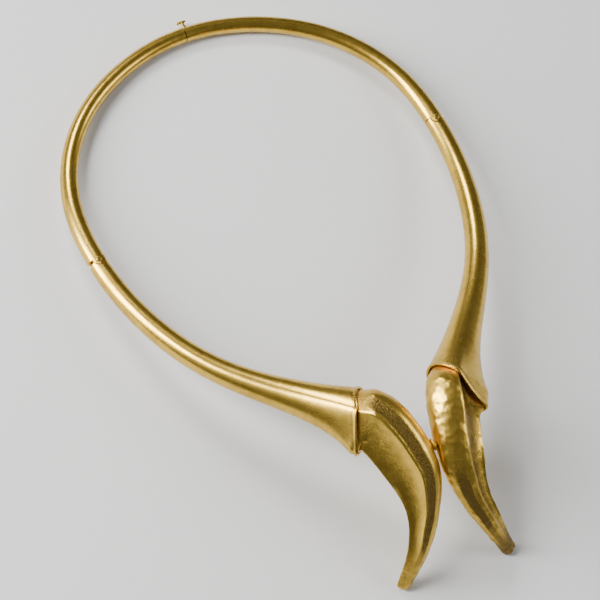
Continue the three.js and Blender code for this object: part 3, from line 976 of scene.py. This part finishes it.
# %% Sockets that can be added and multiplied
class Value:
    """The output of a node, which can be used in sums."""

    def __init__(self, surface, socket):
        self.surface = surface
        self.socket = socket

    def math(self, operation, first, second):
        node = self.surface.node("Math", {"operation": operation}, {0: first, 1: second})
        return Value(self.surface, node.outputs[0])

    def __add__(self, other):
        return self.math("ADD", self, other)

    __radd__ = __add__

    def __mul__(self, other):
        return self.math("MULTIPLY", self, other)

    __rmul__ = __mul__

    def __sub__(self, other):
        return self.math("SUBTRACT", self, other)

    def __rsub__(self, other):
        return self.math("SUBTRACT", other, self)


class Surface:
    """One material and the nodes that paint it."""

    def __init__(self, name):
        self.material = bpy.data.materials.new(name)
        self.material.use_nodes = True
        self.tree = self.material.node_tree
        self.shader = self.tree.nodes["Principled BSDF"]

    def feed(self, socket, value):
        if isinstance(value, Value):
            self.tree.links.new(value.socket, socket)
        else:
            socket.default_value = value

    def node(self, kind, settings=None, inputs=None):
        made = self.tree.nodes.new("ShaderNode" + kind)
        for name, setting in (settings or {}).items():
            setattr(made, name, setting)
        for name, value in (inputs or {}).items():
            self.feed(made.inputs[name], value)
        return made

    def value(self, kind, settings=None, inputs=None, output=0):
        return Value(self, self.node(kind, settings, inputs).outputs[output])

    def mix(self, share, first, second):
        """Between two colours."""
        return self.value("Mix", {"data_type": "RGBA"}, {0: share, 6: first, 7: second}, 2)

    def ease(self, value, low, high):
        """0 below low, 1 above high, and smooth between."""
        return self.value("MapRange", {"interpolation_type": "SMOOTHSTEP"},
                          {"Value": value, "From Min": low, "From Max": high})

    def clouds(self, place, size, detail=3.0, stretch=(1, 1, 1)):
        """Noise from 0 to 1 with clouds of about the given size in metres."""
        scaled = self.value("Mapping", {}, {"Vector": place, "Scale": tuple(s / size for s in stretch)})
        return self.value("TexNoise", {}, {"Vector": scaled, "Scale": 1.0, "Detail": detail})

    def bump(self, height, depth, strength=1.0, under=None):
        inputs = {"Height": height, "Distance": depth, "Strength": strength}
        if under is not None:
            inputs["Normal"] = under
        return self.value("Bump", {}, inputs)

    def finish(self, **sockets):
        for name, value in sockets.items():
            self.feed(self.shader.inputs[name.replace("_", " ")], value)
        return self.material


print("materials can be written as sums")

# %% [markdown]
# ## Gold
# All the gold is one metal. What changes is the finish: the tubes were polished and then worn to a satin by
# skin and cloth, with fine scratches that mostly run along them, and the flutes were stippled with a punch.
# Every recess is painted darker, partly for old polish and dirt and partly as painted shade. Inside the
# bells the light bounces from gold to gold, which turns it orange brown; that orange brown is painted in
# as shade.

# %% Gold finishes
BRIGHT_GOLD = (0.74, 0.485, 0.08, 1)
DEEP_GOLD = (0.49, 0.305, 0.045, 1)
# Colour of the recesses: partly dirt, partly painted shade.
SHADED_DIRTY_GOLD = (0.17, 0.11, 0.025, 1)
# Orange brown painted inside the bells as shade from light bounced between gold walls.
BELL_SHADE_GOLD = (0.66, 0.33, 0.06, 1)
PUNCH_SPACING = 0.55 * MM
SCRATCH_LENGTH, SCRATCH_WIDTH = 14, 0.22  # in millimetres


def gold(name, roughness, scratches, grain, stipple):
    """A gold finish for pieces that were rolled from a sheet."""
    surface = Surface(name)
    place = surface.value("TexCoord", {}, {}, "Object")
    lengthwise = surface.value("UVMap", {"uv_map": "surface"})
    painted = surface.value("UVMap", {"uv_map": "looks"})
    parts = surface.node("SeparateXYZ", {}, {0: painted})
    recess, bell_shade = Value(surface, parts.outputs[0]), Value(surface, parts.outputs[1])
    tone = surface.clouds(place, 14 * MM, 4.0)
    mottle = surface.clouds(place, 2.2 * MM, 5.0)
    fine = surface.clouds(place, 0.35 * MM, 2.0)
    lines = surface.clouds(lengthwise, 1 * MM, 2.0, (1 / SCRATCH_LENGTH, 1 / SCRATCH_WIDTH, 1))
    spaced = surface.value("Mapping", {}, {"Vector": place, "Scale": (1 / PUNCH_SPACING,) * 3})
    punched = surface.value("TexVoronoi", {"feature": "F1"}, {"Vector": spaced, "Scale": 1.0})

    base = surface.mix(surface.ease(tone * 0.6 + mottle * 0.4, 0.35, 0.7), BRIGHT_GOLD, DEEP_GOLD)
    # Recesses are painted darker: partly dirt, partly painted shade.
    dirt_and_shade = surface.ease(recess * (0.55 + mottle * 0.9), 0.1, 0.95)
    base = surface.mix(dirt_and_shade, base, SHADED_DIRTY_GOLD)
    # Painted shade inside the bells, in the orange brown of bounced light.
    base = surface.mix(bell_shade, base, BELL_SHADE_GOLD)
    rough = (roughness + 0.1 * (tone - 0.5) + scratches * 0.25 * (lines - 0.5)
             + 0.2 * dirt_and_shade + 0.12 * bell_shade)
    scratched = surface.bump(lines, 0.02 * MM, scratches)
    grained = surface.bump(fine, 0.03 * MM, grain, scratched)
    stippled = surface.bump(punched * recess, 0.25 * MM, stipple, grained)
    return surface.finish(Base_Color=base, Roughness=rough, Metallic=1.0, Normal=stippled)


def small_gold(name, roughness):
    """Gold for the small solid parts, which have no rolled sheet."""
    surface = Surface(name)
    place = surface.value("TexCoord", {}, {}, "Object")
    tone = surface.clouds(place, 1.2 * MM, 4.0)
    fine = surface.clouds(place, 0.25 * MM, 2.0)
    base = surface.mix(surface.ease(tone, 0.35, 0.75), BRIGHT_GOLD, DEEP_GOLD)
    return surface.finish(Base_Color=base, Roughness=roughness + 0.15 * (tone - 0.5), Metallic=1.0,
                          Normal=surface.bump(fine, 0.03 * MM, 0.4))


def dress(piece, material):
    piece.data.materials.clear()
    piece.data.materials.append(material)


polished_gold = gold("polished_gold", roughness=0.27, scratches=0.17, grain=0.25, stipple=0.3)
hammered_gold = gold("hammered_gold", roughness=0.33, scratches=0.1, grain=0.6, stipple=0.9)
pin_gold = small_gold("pin_gold", 0.3)
for side in ("right", "left"):
    dress(arms[side], polished_gold)
    dress(arcs[side], polished_gold)
    dress(horns[side], hammered_gold)
    dress(pins[side], pin_gold)
dress(tongue, pin_gold)
dress(solder, small_gold("solder_gold", 0.45))
print("finishes:", ", ".join(m.name for m in bpy.data.materials if m.users))

# %% [markdown]
# ## The table top
# A plain pale sheet of matt paper, with a hardly visible grain, so that nothing draws the eye from the
# gold.

# %% Floor finish
PALE = (0.70, 0.70, 0.69, 1)
PALER = (0.74, 0.74, 0.73, 1)
paper = Surface("paper")
paper_place = paper.value("TexCoord", {}, {}, "Object")
paper_tone = paper.clouds(paper_place, 3 * MM, 3.0)
dress(floor, paper.finish(Base_Color=paper.mix(paper_tone, PALE, PALER), Roughness=0.8))
print("floor is dressed in", floor.data.materials[0].name)
